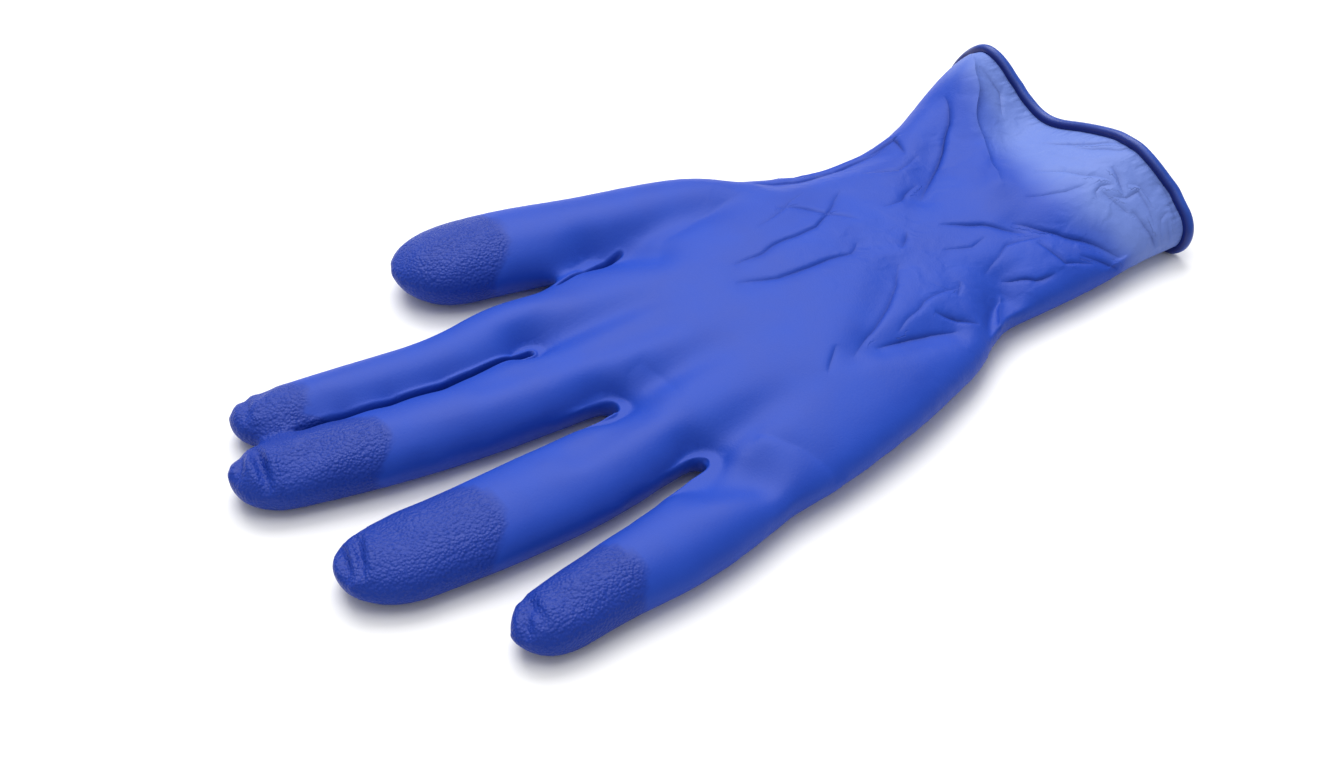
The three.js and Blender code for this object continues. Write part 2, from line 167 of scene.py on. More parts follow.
HAND_SECTIONS = np.array((  # along, thumb edge, little edge, height in mm
    (0, 0.425, -0.508, 0.86 * PALM_HEIGHT), (0.07, 0.437, -0.497, 0.92 * PALM_HEIGHT),
    (0.15, 0.455, -0.476, 0.96 * PALM_HEIGHT), (0.24, 0.485, -0.449, PALM_HEIGHT),
    (0.34, 0.52, -0.418, PALM_HEIGHT), (0.42, 0.525, -0.385, 0.96 * PALM_HEIGHT),
    (0.5, 0.49, -0.345, 0.9 * PALM_HEIGHT), (0.555, 0.467, -0.295, 0.86 * PALM_HEIGHT),
    (0.605, 0.454, -0.264, 0.84 * PALM_HEIGHT), (0.7, 0.462, -0.26, 0.83 * PALM_HEIGHT),
    (0.79, 0.497, -0.257, 0.91 * CUFF_HEIGHT), (0.87, 0.547, -0.248, 0.95 * CUFF_HEIGHT),
    (0.94, 0.585, -0.243, CUFF_HEIGHT), (1, 0.605, -0.245, 1.02 * CUFF_HEIGHT)))


def read_table(rows, column, t):
    """Reads a column at t, an array or a number, with a smooth curve through the rows."""
    rows = np.asarray(rows, float)
    keys, values = rows[:, 0], rows[:, column]
    last = len(keys) - 1
    i = np.clip(np.searchsorted(keys, t) - 1, 0, last - 1)
    before, after = np.maximum(i - 1, 0), np.minimum(i + 2, last)
    span = keys[i + 1] - keys[i]
    u = np.clip((t - keys[i]) / span, 0, 1)
    slope_from = (values[i + 1] - values[before]) / (keys[i + 1] - keys[before]) * span
    slope_to = (values[after] - values[i]) / (keys[after] - keys[i]) * span
    return ((2 * u**3 - 3 * u**2 + 1) * values[i] + (u**3 - 2 * u**2 + u) * slope_from
            + (3 * u**2 - 2 * u**3) * values[i + 1] + (u**3 - u**2) * slope_to)


def smoothstep(value, low, high):
    t = np.clip((np.asarray(value, float) - low) / (high - low), 0, 1)
    return t * t * (3 - 2 * t)


def bell(away, width):
    """A soft hump, 1 at the middle and gone at about twice its width."""
    return np.exp(-((away / width) ** 2))


print("palm height half way, mm:", round(float(read_table(HAND_SECTIONS, 3, 0.3)), 2))

# %% [markdown]
# ## The forms of palm and fingers
# On the real glove a porcelain hand is dipped, so the film is one skin over rounded forms.
# Each form starts as a bmesh circle, and is extruded ring by ring along its table, as a
# potter pulls up a wall. The rings are flattened where they rest on the table. The palm runs
# a little past its rim, to be cut there later.

# %% Rings
def hand_ring(along, nose=1.0, ahead=0.0, sides=72):
    """A cross-section of palm, wrist or cuff; nose rounds off the web in front."""
    thumb_edge, little_edge = (read_table(HAND_SECTIONS, c, along) * PALM_WIDTH for c in (1, 2))
    tall = read_table(HAND_SECTIONS, 3, along)
    half, centre = (thumb_edge - little_edge) / 2, (thumb_edge + little_edge) / 2
    middle = HAND_REST * tall
    yaw = KNUCKLE_YAW * (1 - smoothstep(along, 0, 0.5))
    turn = 2 * np.pi * np.arange(sides) / sides
    power = 2 / HAND_SQUARENESS
    across = np.sign(np.cos(turn)) * np.abs(np.cos(turn)) ** power * half * (0.8 + 0.2 * nose)
    lift = np.sign(np.sin(turn)) * np.abs(np.sin(turn)) ** power * (tall - middle) * nose
    x = HAND_START + along * (HAND_LENGTH - HAND_START) - ahead - across * math.sin(yaw)
    return np.column_stack((x, centre + across * math.cos(yaw), np.maximum(middle + lift, 0)))


def finger_place(name, s):
    """The finger's centre line in plan, s millimetres from its root."""
    long, wide, tall, root_x, root_y, lean = FINGERS[name]
    lean = math.radians(lean)
    bend = read_table(FINGER_SECTIONS[name], 1, s / (long * FINGER_LENGTH)) * wide * PALM_WIDTH
    return np.array((root_x * HAND_LENGTH - s * math.cos(lean),
                     root_y * PALM_WIDTH + s * math.sin(lean) + bend))


def finger_ring(name, s, shrink=1.0, sides=36):
    long, wide, tall = FINGERS[name][:3]
    at = s / (long * FINGER_LENGTH)
    half = wide * PALM_WIDTH * read_table(FINGER_SECTIONS[name], 2, at) / 2 * shrink
    tall = tall * PALM_HEIGHT * read_table(FINGER_SECTIONS[name], 3, at)
    middle = (FINGER_REST + TIP_RISE * (1 - FINGER_REST) * (1 - shrink)) * tall
    heading = finger_place(name, s + 1) - finger_place(name, s - 1)
    heading /= np.linalg.norm(heading)
    turn = 2 * np.pi * np.arange(sides) / sides
    centre = finger_place(name, s)
    z = middle + np.sin(turn) * tall * (1 - FINGER_REST) * shrink
    return np.column_stack((centre[0] - heading[1] * np.cos(turn) * half,
                            centre[1] + heading[0] * np.cos(turn) * half, np.maximum(z, 0)))


def hand_rings():
    rings = []
    for turn in np.arange(0.08, 1.0, 0.12) * math.pi / 2:
        rings.append(hand_ring(0.0, math.sin(turn), WEB_NOSE * math.cos(turn)))
    return rings + [hand_ring(along) for along in np.arange(0, 1.05, 1 / 90)]


def finger_rings(name):
    long, wide = FINGERS[name][:2]
    tip = wide * PALM_WIDTH * TIP_SHARE
    start, straight = FINGER_SECTIONS[name][0][0] * long * FINGER_LENGTH, long * FINGER_LENGTH - tip
    rings = [finger_ring(name, s) for s in np.linspace(start, straight, 50)]
    for turn in np.linspace(0, 1, 14)[1:-1] * math.pi / 2:
        rings.append(finger_ring(name, straight + tip * math.sin(turn), math.cos(turn)))
    return rings


print("rings:", len(hand_rings()), [len(finger_rings(name)) for name in FINGERS])

# %% Extrude a form along its rings
def extrude_rings(shape, rings, closed=False):
    """Grows a tube from a circle, ring by ring, and caps it or joins its ends."""
    ring = bmesh.ops.create_circle(shape, segments=len(rings[0]), radius=1.0)["verts"]
    first_edges = list(dict.fromkeys(edge for vert in ring for edge in vert.link_edges))
    for vert, place in zip(ring, rings[0]):
        vert.co = place
    edges = first_edges
    for places in rings[1:]:
        grown = bmesh.ops.extrude_edge_only(shape, edges=edges)["geom"]
        fresh = {item for item in grown if isinstance(item, bmesh.types.BMVert)}
        edges = [item for item in grown if isinstance(item, bmesh.types.BMEdge)
                 and item.verts[0] in fresh and item.verts[1] in fresh]
        ring = [next(e.other_vert(v) for e in v.link_edges if e.other_vert(v) in fresh)
                for v in ring]
        for vert, place in zip(ring, places):
            vert.co = place
    if closed:
        bmesh.ops.bridge_loops(shape, edges=first_edges + edges)
    else:
        bmesh.ops.edgeloop_fill(shape, edges=first_edges)
        bmesh.ops.edgeloop_fill(shape, edges=edges)
    return shape


forms = bmesh.new()
for rings in [hand_rings()] + [finger_rings(name) for name in FINGERS]:
    extrude_rings(forms, rings)
bmesh.ops.recalc_face_normals(forms, faces=forms.faces)
print("forms:", len(forms.faces), "faces")

# %% [markdown]
# ## One skin over all the forms
# The six forms still pass through each other. A voxel remesh makes one closed skin of small
# squares over them, and a few rounds of smoothing turn the hard joints into the soft webs
# that the dipped film has. The skin should have no handles, so they are counted: one more
# would mean that two fingers had grown together. The cuff's mouth is cut open with a plane.

# %% Voxel skin
VOXEL = 1.7


def remeshed(shape, voxel):
    """One skin of squares over all the closed forms of a bmesh, as a new bmesh."""
    mesh = bpy.data.meshes.new("forms")
    shape.to_mesh(mesh)
    carrier = link_object("forms", mesh)
    modifier = carrier.modifiers.new("skin", "REMESH")
    modifier.mode, modifier.voxel_size = "VOXEL", voxel
    graph = bpy.context.evaluated_depsgraph_get()
    skin = bmesh.new()
    skin.from_mesh(carrier.evaluated_get(graph).to_mesh())
    bpy.data.objects.remove(carrier)
    bpy.data.meshes.remove(mesh)
    return skin


def smooth(shape, verts, factor, rounds):
    for _ in range(rounds):
        bmesh.ops.smooth_vert(shape, verts=verts, factor=factor,
                              use_axis_x=True, use_axis_y=True, use_axis_z=True)


skin = remeshed(forms, VOXEL)
forms.free()
handles = 1 - (len(skin.verts) - len(skin.edges) + len(skin.faces)) // 2
smooth(skin, skin.verts, 0.5, 7)
bmesh.ops.bisect_plane(skin, geom=skin.verts[:] + skin.edges[:] + skin.faces[:], dist=0.05,
                       plane_co=(HAND_LENGTH, 0, 0), plane_no=(1, 0, 0), clear_outer=True)
bmesh.ops.remove_doubles(skin, verts=[v for v in skin.verts if v.co.x > HAND_LENGTH - 1], dist=0.25)
print("skin:", len(skin.faces), "faces, handles:", handles)
print("open edges at the mouth:", sum(edge.is_boundary for edge in skin.edges))

# %% [markdown]
# ## Distance to a drawn line
# Folds, creases, slots and dents are all drawn as lines in plan, so one function serves them
# all. It answers how far a point is from a line of a few points, how far along the line that
# is, and on which side of it the point lies.

# %% Near a line
def near_line(co, points):
    """Distance in plan to a drawn line, the share of it where it is met, and the side."""
    points = np.asarray(points, float)
    lengths = np.linalg.norm(np.diff(points, axis=0), axis=1)
    before = np.concatenate(([0], np.cumsum(lengths)))
    away, share, beside = (np.full(len(co), v) for v in (1e9, 0.0, 1.0))
    for a, b, length, start in zip(points[:-1], points[1:], lengths, before):
        run = (b - a) / length
        t = np.clip((co[:, :2] - a) @ run, 0, length)
        gap = co[:, :2] - a - t[:, None] * run
        reach = np.linalg.norm(gap, axis=1)
        nearer = reach < away
        away = np.where(nearer, reach, away)
        share = np.where(nearer, (start + t) / before[-1], share)
        beside = np.where(nearer, np.sign(run[0] * gap[:, 1] - run[1] * gap[:, 0]), beside)
    return away, share, beside


print("distance to a line:", near_line(np.array([(0.0, 2.0, 0.0)]), ((-5, 0), (5, 0)))[0])

# %% [markdown]
# ## Drawn creases
# The fine creases of wrist and cuff are what makes film look thin. A crease in film is a
# sharp valley with a low ridge on one side, and it fades at both ends. Each is a line of a
# few points in plan, in millimetres, with its width, its depth and the side of its ridge.
# A little noise bends the lines, because no real crease is straight.

# %% Creases
CREASES = (  # width, depth, ridge side, points
    (0.74, 0.45, 1, ((44, 11.6), (53, 8.3), (66.4, 8.2), (72.8, 8), (77, 10.6))),
    (0.71, 0.40, 1, ((47, 17.2), (55.6, 17.7), (63.7, 19.1), (72, 19.5), (79.6, 24.1), (87, 29.4))),
    (0.67, 0.34, -1, ((91, 18.6), (96.6, 19), (98.9, 20.3), (104.5, 21.8))),
    (0.85, 0.65, -1, ((100.5, 16.6), (109.2, 22.7), (117, 28.7), (124.3, 35.7), (130, 44))),
    (0.67, 0.30, 1, ((89.6, 8.2), (84.2, 3.2))),
    (0.71, 0.45, 1, ((97.5, 6), (105.9, 0.9), (113.4, -7))),
    (0.71, 0.50, 1, ((113, -2.6), (120.4, -12.4), (130, -22.6))),
    (0.67, 0.45, -1, ((112.6, -10.6), (115, -18.9), (121.4, -21))),
    (0.69, 0.40, 1, ((119.6, -18.2), (130.6, -26.4))),
    (0.65, 0.25, -1, ((95.6, -12.4), (106.9, -7.8), (117.4, -9.8))),
    (0.65, 0.25, 1, ((88.6, -12.2), (85.2, -16.6))),
    (0.71, 0.59, -1, ((77, -17.6), (80.6, -22.2), (85, -24.6))),
    (0.74, 0.45, -1, ((79, -24.2), (67.6, -22), (57.6, -21.4))),
    (0.69, 0.40, 1, ((80.4, -0.6), (75.1, -6.9), (64.5, -14.3), (51, -22))),
    (0.67, 0.30, 1, ((88.6, -13.8), (76.5, -14.3), (65, -19.6))),
    (0.65, 0.25, -1, ((50, -16.8), (43, -23.6))),
    (0.80, -0.50, 1, ((88, -29), (92.6, -22.6), (96.4, -17.4))),
    (0.85, -0.59, 1, ((145, 52.6), (135.9, 39.1), (127.9, 28.3), (118, 7.6))),
    (0.67, 0.40, 1, ((140.9, 44), (141.8, 37), (138, 31))),
    (0.62, 0.36, -1, ((128.6, 9), (134.1, -0.2), (139, -8.2))),
    (0.65, 0.36, 1, ((138.6, 18.6), (141.6, 11), (144.8, 5.9), (150.5, 0))),
    (0.62, 0.32, 1, ((140.8, 9.8), (142.4, 4.6), (146.3, -0.2), (150.8, -2))),
    (0.55, 0.30, 1, ((132.4, -9.4), (133.6, -7.2), (135.6, -6.9), (138.8, -8.4))),
    (0.60, 0.45, -1, ((140.8, -3.6), (140.2, -7.5), (138.6, -11.4))),
    (0.55, 0.34, 1, ((136, -10), (138.8, -12.1), (142.3, -12.3), (142.5, -16.5), (141.4, -20.6))),
    (0.50, 0.26, -1, ((141, -9.4), (143.3, -11.2), (144.6, -15.6))),
    (0.50, 0.28, 1, ((134.9, -7.4), (135.6, -11.4), (137.2, -15.6))),
    (0.60, 0.45, 1, ((138.2, -14.8), (139.2, -19.4), (140, -22.8), (141.9, -26.4))),
    (0.50, 0.24, -1, ((141.4, -22.6), (143.9, -19.7), (147, -18.6))),
    (0.50, 0.26, 1, ((145.6, -19.6), (143.6, -23.6), (143, -27.4))),
    (0.50, 0.22, -1, ((147, -10.8), (149.1, -13.7), (148.8, -17), (147, -22))),
    (0.69, 0.45, 1, ((99, -14.6), (105.5, -19.7), (111, -20.2))),
    (0.71, 0.50, 1, ((72, 44), (83, 40.3), (94.7, 40), (108.6, 40.3))),
    (0.69, 0.40, -1, ((80, 46.8), (89.3, 40.9), (97.1, 39.3))),
    (0.69, 0.50, 1, ((104, 41), (111.6, 41), (109.5, 33))),
    (2.2, 0.3, 1, ((5.6, -0.6), (9.4, 2.6), (12.9, 2.7), (14.7, -1.5), (13.2, -11))),
    (2.4, 0.45, -1, ((15.6, -31.6), (21, -28.6), (26, -36.4), (30, -51))),
    (2.4, 0.4, 1, ((39, 35), (50, 37.4), (67, 41))),
    (0.63, 0.25, 1, ((69, 31), (76, 26), (83, 17))),
    (0.63, 0.25, -1, ((96, 33), (104, 29), (112, 31))),
    (0.63, 0.22, 1, ((120, 2), (128, -3), (134, -4))),
    (0.60, 0.20, -1, ((60, 26), (70, 29), (79, 34))),
    (0.63, 0.20, 1, ((92, -2), (99, -4), (104, -3))),
)
CREASE_LINES = [points for _, _, _, points in CREASES]
print("creases:", len(CREASES))

# %% [markdown]
# ## Smaller squares where the film is creased
# A crease is half a millimetre wide and the squares are more than one. Dividing them all
# would be wasteful, so only those near creases, fingertips and the slots between the fingers
# are divided, and those right at a crease or a slot once more.

# %% Divide the creased places
SLOTS = (  # lip radius, lip height, slot depth, points from the web outwards
    (1.0, 0.6, 3.2, ((-3.4, 22.9), (-8, 23.4), (-18, 23.3), (-30, 24.3), (-44, 26.5), (-62, 30))),
    (1.1, 0.5, 4.5, ((0.6, -2.6), (-5, -2.0), (-18, -1.0))),
    (1.0, 0.4, 4.5, ((8.4, -25.8), (3, -26.6), (-13, -29.6))),
    (1.0, 0.2, 2.2, ((31.6, 40.2), (25.7, 39.8), (18.2, 39.4), (11.9, 38.0))),
)
DIVISIONS = ((3.6, 4.2, 0.84), (1.0, 2.2, 2.0))  # reach of creases and slots, start of tips
UPPER_FILM, SMALL_SQUARE = 3.5, 0.85


def finger_share(co, name):
    """How far along a finger points are, and how far across it as a share of its half width."""
    long, wide = FINGERS[name][0] * FINGER_LENGTH, FINGERS[name][1] * PALM_WIDTH
    root, tip = finger_place(name, 0), finger_place(name, long)
    heading = (tip - root) / np.linalg.norm(tip - root)
    s = (co[:, :2] - root) @ heading
    bend = read_table(FINGER_SECTIONS[name], 1, np.clip(s / long, -0.4, 1)) * wide
    q = (co[:, :2] - root) @ np.array((heading[1], -heading[0])) - bend
    return s / long, q / (wide / 2)


def near_creases(co, crease_reach, slot_reach, tip_start):
    """Which points lie near a crease, a slot or a fingertip, on the upper film."""
    wanted = np.zeros(len(co), bool)
    for points in CREASE_LINES:
        wanted |= near_line(co, points)[0] < crease_reach
    for _, _, _, points in SLOTS:
        wanted |= near_line(co, points)[0] < slot_reach
    for name in FINGERS:
        s, q = finger_share(co, name)
        wanted |= (s > tip_start) & (s < 1.05) & (np.abs(q) < 1.3)
    return wanted & (co[:, 2] > UPPER_FILM)


for reaches in DIVISIONS:
    centres = np.array([face.calc_center_median() for face in skin.faces])
    chosen = near_creases(centres, *reaches)
    edges = dict.fromkeys(e for face, keep in zip(skin.faces, chosen) if keep for e in face.edges)
    bmesh.ops.subdivide_edges(skin, edges=list(edges), cuts=1, use_grid_fill=True)
    fine = [v for v in skin.verts if not v.is_boundary
            and min(e.calc_length() for e in v.link_edges) < SMALL_SQUARE]
    smooth(skin, fine, 0.5, 3)
    print("divided:", int(chosen.sum()), "faces, now", len(skin.faces))

# %% [markdown]
# ## Folds, waves and creases as height fields
# Real film is pressed down between the fingers, lifted by the waves of its rim and creased
# where the wrist narrows. Each of these is a field over the plan: every point asks how near
# it is to a stretch or a drawn line, and is pushed up or down by a soft curve of that
# distance. Fields are gentle on a mesh of small squares and their values stay readable. The
# main folds lie where the solid has them, some of them softer, because the finer lines are
# drawn on top.

# %% Main folds and rim waves
FOLDS = (  # from x, from y, to x, to y, width, depth, how much of the depth is left at the end
    (-0.02, 0.245, 0.2, 0.185, 0.05, 0.26, 0.1), (0.0, -0.02, 0.22, -0.035, 0.055, 0.27, 0.1),
    (0.06, -0.265, 0.24, -0.235, 0.05, 0.24, 0.1), (-0.13, 0.165, 0.15, 0.105, 0.04, 0.05, 1),
    (-0.1, -0.14, 0.03, -0.105, 0.04, 0.05, 1), (0.03, -0.35, 0.085, -0.4, 0.07, 0.22, 1),
    (0.17, 0.44, 0.24, 0.34, 0.05, 0.22, 0.6), (0.24, 0.42, 0.46, 0.42, 0.055, 0.07, 0.6),
    (0.52, 0.43, 0.71, 0.4, 0.045, 0.08, 1), (0.31, 0.11, 0.52, 0.09, 0.04, 0.035, 1),
    (0.33, 0.18, 0.57, 0.29, 0.04, 0.03, 1), (0.35, -0.22, 0.53, -0.02, 0.04, 0.05, 1),
    (0.4, -0.225, 0.52, -0.245, 0.045, 0.1, 1.2), (0.62, -0.27, 0.66, -0.16, 0.05, 0.3, 0.4),
    (0.68, 0.18, 0.87, 0.45, 0.045, 0.09, 1), (0.76, -0.04, 0.86, -0.22, 0.045, 0.08, 1),
    (0.8, 0.1, 0.96, 0.52, 0.06, -0.12, 1))
RIM_WAVES = ((0.8, 0.56, 0.24), (0.22, -0.26, 0.26), (-0.52, 0.42, 0.36))  # across, rise, spread
WAVE_START, KEPT_HEIGHT = 0.66, 2  # where along the hand waves begin, and what folds leave


def fold_depth(co):
    total = np.zeros(len(co))
    for ax, ay, bx, by, width, depth, end in FOLDS:
        line = ((ax * HAND_LENGTH, ay * PALM_WIDTH), (bx * HAND_LENGTH, by * PALM_WIDTH))
        away, t, _ = near_line(co, line)
        total += depth * PALM_HEIGHT * (1 - t + t * end) * bell(away, width * PALM_WIDTH)
    return total


def cuff_place(co):
    """Where points are on the hand: along it and across it, from -1 to 1, with the height of
    its widest line there and the points' lift above that, from 0 to 1."""
    along = (co[:, 0] - HAND_START) / (HAND_LENGTH - HAND_START)
    thumb_edge, little_edge = (read_table(HAND_SECTIONS, c, along) * PALM_WIDTH for c in (1, 2))
    tall = read_table(HAND_SECTIONS, 3, along)
    half, centre = (thumb_edge - little_edge) / 2, (thumb_edge + little_edge) / 2
    across = np.clip((co[:, 1] - centre) / half, -1, 1)
    middle = HAND_REST * tall
    return along, across, middle, np.clip((co[:, 2] - middle) / (tall - middle), 0, 1)


def fold_and_wave(co):
    """Presses the main folds into the upper film, then lifts the rim's waves."""
    along, across, middle, lift = cuff_place(co)
    upper = smoothstep(co[:, 2], middle, middle + PALM_HEIGHT / 4)
    pressed = co[:, 2] - upper * fold_depth(co)
    least = np.minimum(co[:, 2], middle + KEPT_HEIGHT)
    z = np.where(co[:, 2] > middle, np.maximum(pressed, least), co[:, 2])
    share = smoothstep(along, WAVE_START, 1.0)
    wave = sum(rise * CUFF_HEIGHT * bell(across - at, spread) for at, rise, spread in RIM_WAVES)
    z = z + share * lift * wave
    x = co[:, 0] + share * (RIM_OVERHANG * (np.minimum(z / CUFF_HEIGHT, 1) - 1) - RIM_SKEW * across)
    return np.column_stack((x, co[:, 1], z))


skin.verts.ensure_lookup_table()
plain = np.array([v.co for v in skin.verts])
folded = fold_and_wave(plain)
print("folded height, mm:", round(folded[:, 2].max(), 2))

# %% [markdown]
# ## The profile of a crease
# Across a crease the height falls into a narrow valley, and the film beside it bulges on one
# side and sags a little on the other. The valley is as wide as two squares of the mesh, so
# the distance to the nearest crease is kept as well, and the material draws the sharp line
# at its bottom, as a bump and as painted shade. Long swells and short wrinkles come from
# noise.

# %% Crease and rumple fields
LINE_BEND, BEND_WAVE = 0.8, 7          # how far noise bends a drawn line, and over what length
BULGE, SAG, BULGE_REACH = 0.9, 0.5, 3.2
LINE_START, LINE_END = 1.0, 1.7        # distances between which the drawn line fades
DRAWN_WIDTH = 1                        # only creases narrower than this get a drawn line
END_FADE, CREASE_REACH = 0.6, 12       # how soon a crease fades at its ends, reach in widths
SEED_STEP = 17.3                       # how far apart two seeds read the noise
SWELLS = ((0.16, 30, 3), (0.06, 12, 4))  # height, wave, seed
WRINKLE_HEIGHT, WRINKLE_TURN = 0.14, (0.94, 0.34)
WRINKLE_WAVE, WRINKLE_STRETCH, WRINKLE_SHARPNESS, WRINKLE_BOTTOM = 9, (0.45, 1.3, 1), 2.4, -0.4
WRIST, PATCH_WAVE = (0.3, 0.62), 22    # where along the hand wrinkles grow, and their patches


def noise_at(co, wave, seed, stretch=(1, 1, 1)):
    """Smooth noise from -1 to 1 at points in millimetres, for waves of this length."""
    scale = np.asarray(stretch, float) / wave
    return np.array([noise.noise(Vector(p)) for p in co * scale + seed * SEED_STEP])


def crease_height(co):
    """Height of the drawn creases, the signed distance to the nearest and its depth."""
    bend = np.column_stack([noise_at(co, BEND_WAVE, seed) for seed in (1, 2)])
    bent = co[:, :2] + LINE_BEND * bend
    total, signed, deep, nearest = (np.full(len(co), v) for v in (0.0, 0.0, 0.0, 1e9))
    for width, depth, ridge, points in CREASES:
        away, t, beside = near_line(bent, points)
        fade = np.clip(np.sin(np.pi * np.clip(t, 0, 1)), 0, 1) ** END_FADE
        fade = fade * (away < CREASE_REACH * width)
        valley = np.exp(-np.sqrt((away / width) ** 2 + 0.04) + 0.2)
        slope = np.exp(-away / (BULGE_REACH * width)) * (1 - np.exp(-away / width))
        total += depth * fade * (slope * np.where(beside == ridge, BULGE, -SAG) - valley)
        closer = (away < nearest) & (fade > 0) & (width < DRAWN_WIDTH)
        signed = np.where(closer, away * beside, signed)
        nearest = np.where(closer, away, nearest)
        faded = depth * fade * (1 - smoothstep(away, LINE_START, LINE_END))
        deep = np.where(closer, faded, deep)
    return total, signed, deep


def rumple_height(co):
    """The unplanned unevenness of film: long swells all over, short wrinkles at the wrist."""
    along = cuff_place(co)[0]
    swell = sum(high * noise_at(co, wave, seed) for high, wave, seed in SWELLS)
    x, y, (c, d) = co[:, 0], co[:, 1], WRINKLE_TURN
    turned = np.column_stack((x * c + y * d, y * c - x * d, co[:, 2]))
    short = 1 - np.abs(noise_at(turned, WRINKLE_WAVE, 5, WRINKLE_STRETCH)) * WRINKLE_SHARPNESS
    wrist = smoothstep(along, *WRIST) * (0.5 + 0.5 * noise_at(co, PATCH_WAVE, 6))
    return swell + WRINKLE_HEIGHT * wrist * np.maximum(short, WRINKLE_BOTTOM)


print("deepest crease, mm:", round(-crease_height(folded)[0].min(), 2))

# %% [markdown]
# ## Webs and fingertips
# Between two fingers the film folds over the web in a small U-shaped lip round the end of a
# narrow slot. The lip runs on along the slot's upper side. At the fingertips, empty of any
# finger, the film is dented by short cross folds: each is a short line drawn at a share of
# the finger's length, with a bulge on both sides of it.

# %% Web lips and fingertip dents
LIP_WIDTH, SLOT_SHARE, SLOT_FULL_DEPTH = 0.4, 0.6, 3.0
LIP_FADE, LIP_END = (0.2, 0.9), 0.16              # shares of a slot's length
SLOT_START, SLOT_END = (-0.1, 0.12), (0.8, 1)     # where it sets in and fades
DENT_BULGE, BULGE_AWAY = 0.45, 2.1
RIM_CALM, RIM_CALM_LENGTH = 0.7, 3.0
UPWARD = (0.0, 0.45)  # how far a normal points up, from no relief to all of it
TIP_DENTS = (  # finger, at, across, turn in degrees, half length in mm, width, depth
    ("thumb", 0.95, 0.1, 70, 3.0, 1.4, 0.35), ("thumb", 0.8, -0.2, 40, 4.0, 2.2, 0.4),
    ("index", 0.92, 0.2, 70, 3.4, 0.9, 0.8), ("index", 0.86, 0.5, 30, 3.0, 1.2, 0.5),
    ("middle", 0.9, -0.05, 85, 5.4, 1.0, 1.9), ("middle", 0.945, 0.2, 60, 3.6, 0.9, 1.0),
    ("middle", 0.78, -0.2, 20, 6.0, 2.4, 0.6),
    ("ring", 0.945, 0.1, 70, 3.8, 0.9, 1.5), ("ring", 0.91, 0.1, 66, 4.6, 1.0, 1.6),
    ("ring", 0.8, 0.3, 100, 5.0, 3.0, 0.5),
    ("little", 0.92, 0.15, 55, 3.4, 0.9, 1.2), ("little", 0.88, 0.2, 70, 3.8, 1.0, 1.1),
    ("little", 0.78, 0.0, 110, 4.0, 2.4, 0.4),
)


def web_height(co):
    """The small lips round the ends of the slots."""
    total = np.zeros(len(co))
    for radius, lip, _, points in SLOTS:
        away, t, beside = near_line(co, points)
        along = np.where(beside < 0, 1 - smoothstep(t, *LIP_FADE), bell(t, LIP_END))
        total += lip * bell(away - radius, LIP_WIDTH) * along
    return total


def slot_drop(co):
    """How far the film drops into the slots between the fingers, and a mask of the slots for their
    painted shade.
    """
    total, mask = np.zeros(len(co)), np.zeros(len(co))
    for radius, _, depth, points in SLOTS:
        away, t, _ = near_line(co, points)
        along = smoothstep(t, *SLOT_START) * (1 - smoothstep(t, *SLOT_END))
        slot = along * bell(away, SLOT_SHARE * radius)
        total += depth * slot
        mask = np.maximum(mask, slot * min(1.0, depth / SLOT_FULL_DEPTH))
    return total, mask


def tip_height(co):
    """The short cross folds of the fingertips."""
    total = np.zeros(len(co))
    for name, at, across, turn, half, width, depth in TIP_DENTS:
        long, wide = FINGERS[name][0] * FINGER_LENGTH, FINGERS[name][1] * PALM_WIDTH
        centre = finger_place(name, at * long)
        heading = finger_place(name, long) - finger_place(name, 0)
        heading /= np.linalg.norm(heading)
        centre = centre + np.array((heading[1], -heading[0])) * across * wide / 2
        turn = math.radians(turn)
        run = np.array((heading[0] * math.cos(turn) - heading[1] * math.sin(turn),
                        heading[0] * math.sin(turn) + heading[1] * math.cos(turn)))
        away, t, _ = near_line(co, (centre - run * half, centre + run * half))
        valley = bell(away, width) - DENT_BULGE * bell(away - BULGE_AWAY * width, width)
        total -= depth * np.sqrt(np.sin(np.pi * np.clip(t, 0.05, 0.95))) * valley
    return total


def set_places(shape, co):
    for vert, place in zip(shape.verts, co):
        vert.co = place
    shape.normal_update()


set_places(skin, folded)
normals = np.array([v.normal for v in skin.verts])
faces_up = smoothstep(normals[:, 2], *UPWARD)
creased, crease_side, crease_depth = crease_height(folded)
dropped, slot_shade_mask = slot_drop(folded)
height = creased + rumple_height(folded) + web_height(folded) + tip_height(folded)
at_rim = smoothstep(plain[:, 0], HAND_LENGTH - RIM_CALM_LENGTH, HAND_LENGTH)
height = height * faces_up * (1 - RIM_CALM * at_rim)
shaped = folded + normals * height[:, None]
shaped[:, 2] -= dropped * faces_up
shaped[:, 2] = np.maximum(shaped[:, 2], 0)
set_places(skin, shaped)
smooth(skin, [v for v in skin.verts if not v.is_boundary], 0.15, 1)
# The slot mask goes on as an attribute for the slots' painted shade.
fields = {"crease_side": crease_side, "crease_depth": crease_depth * faces_up,
          "slot": slot_shade_mask * faces_up}
print("relief, mm:", round(height.min(), 2), "to", round(height.max(), 2))
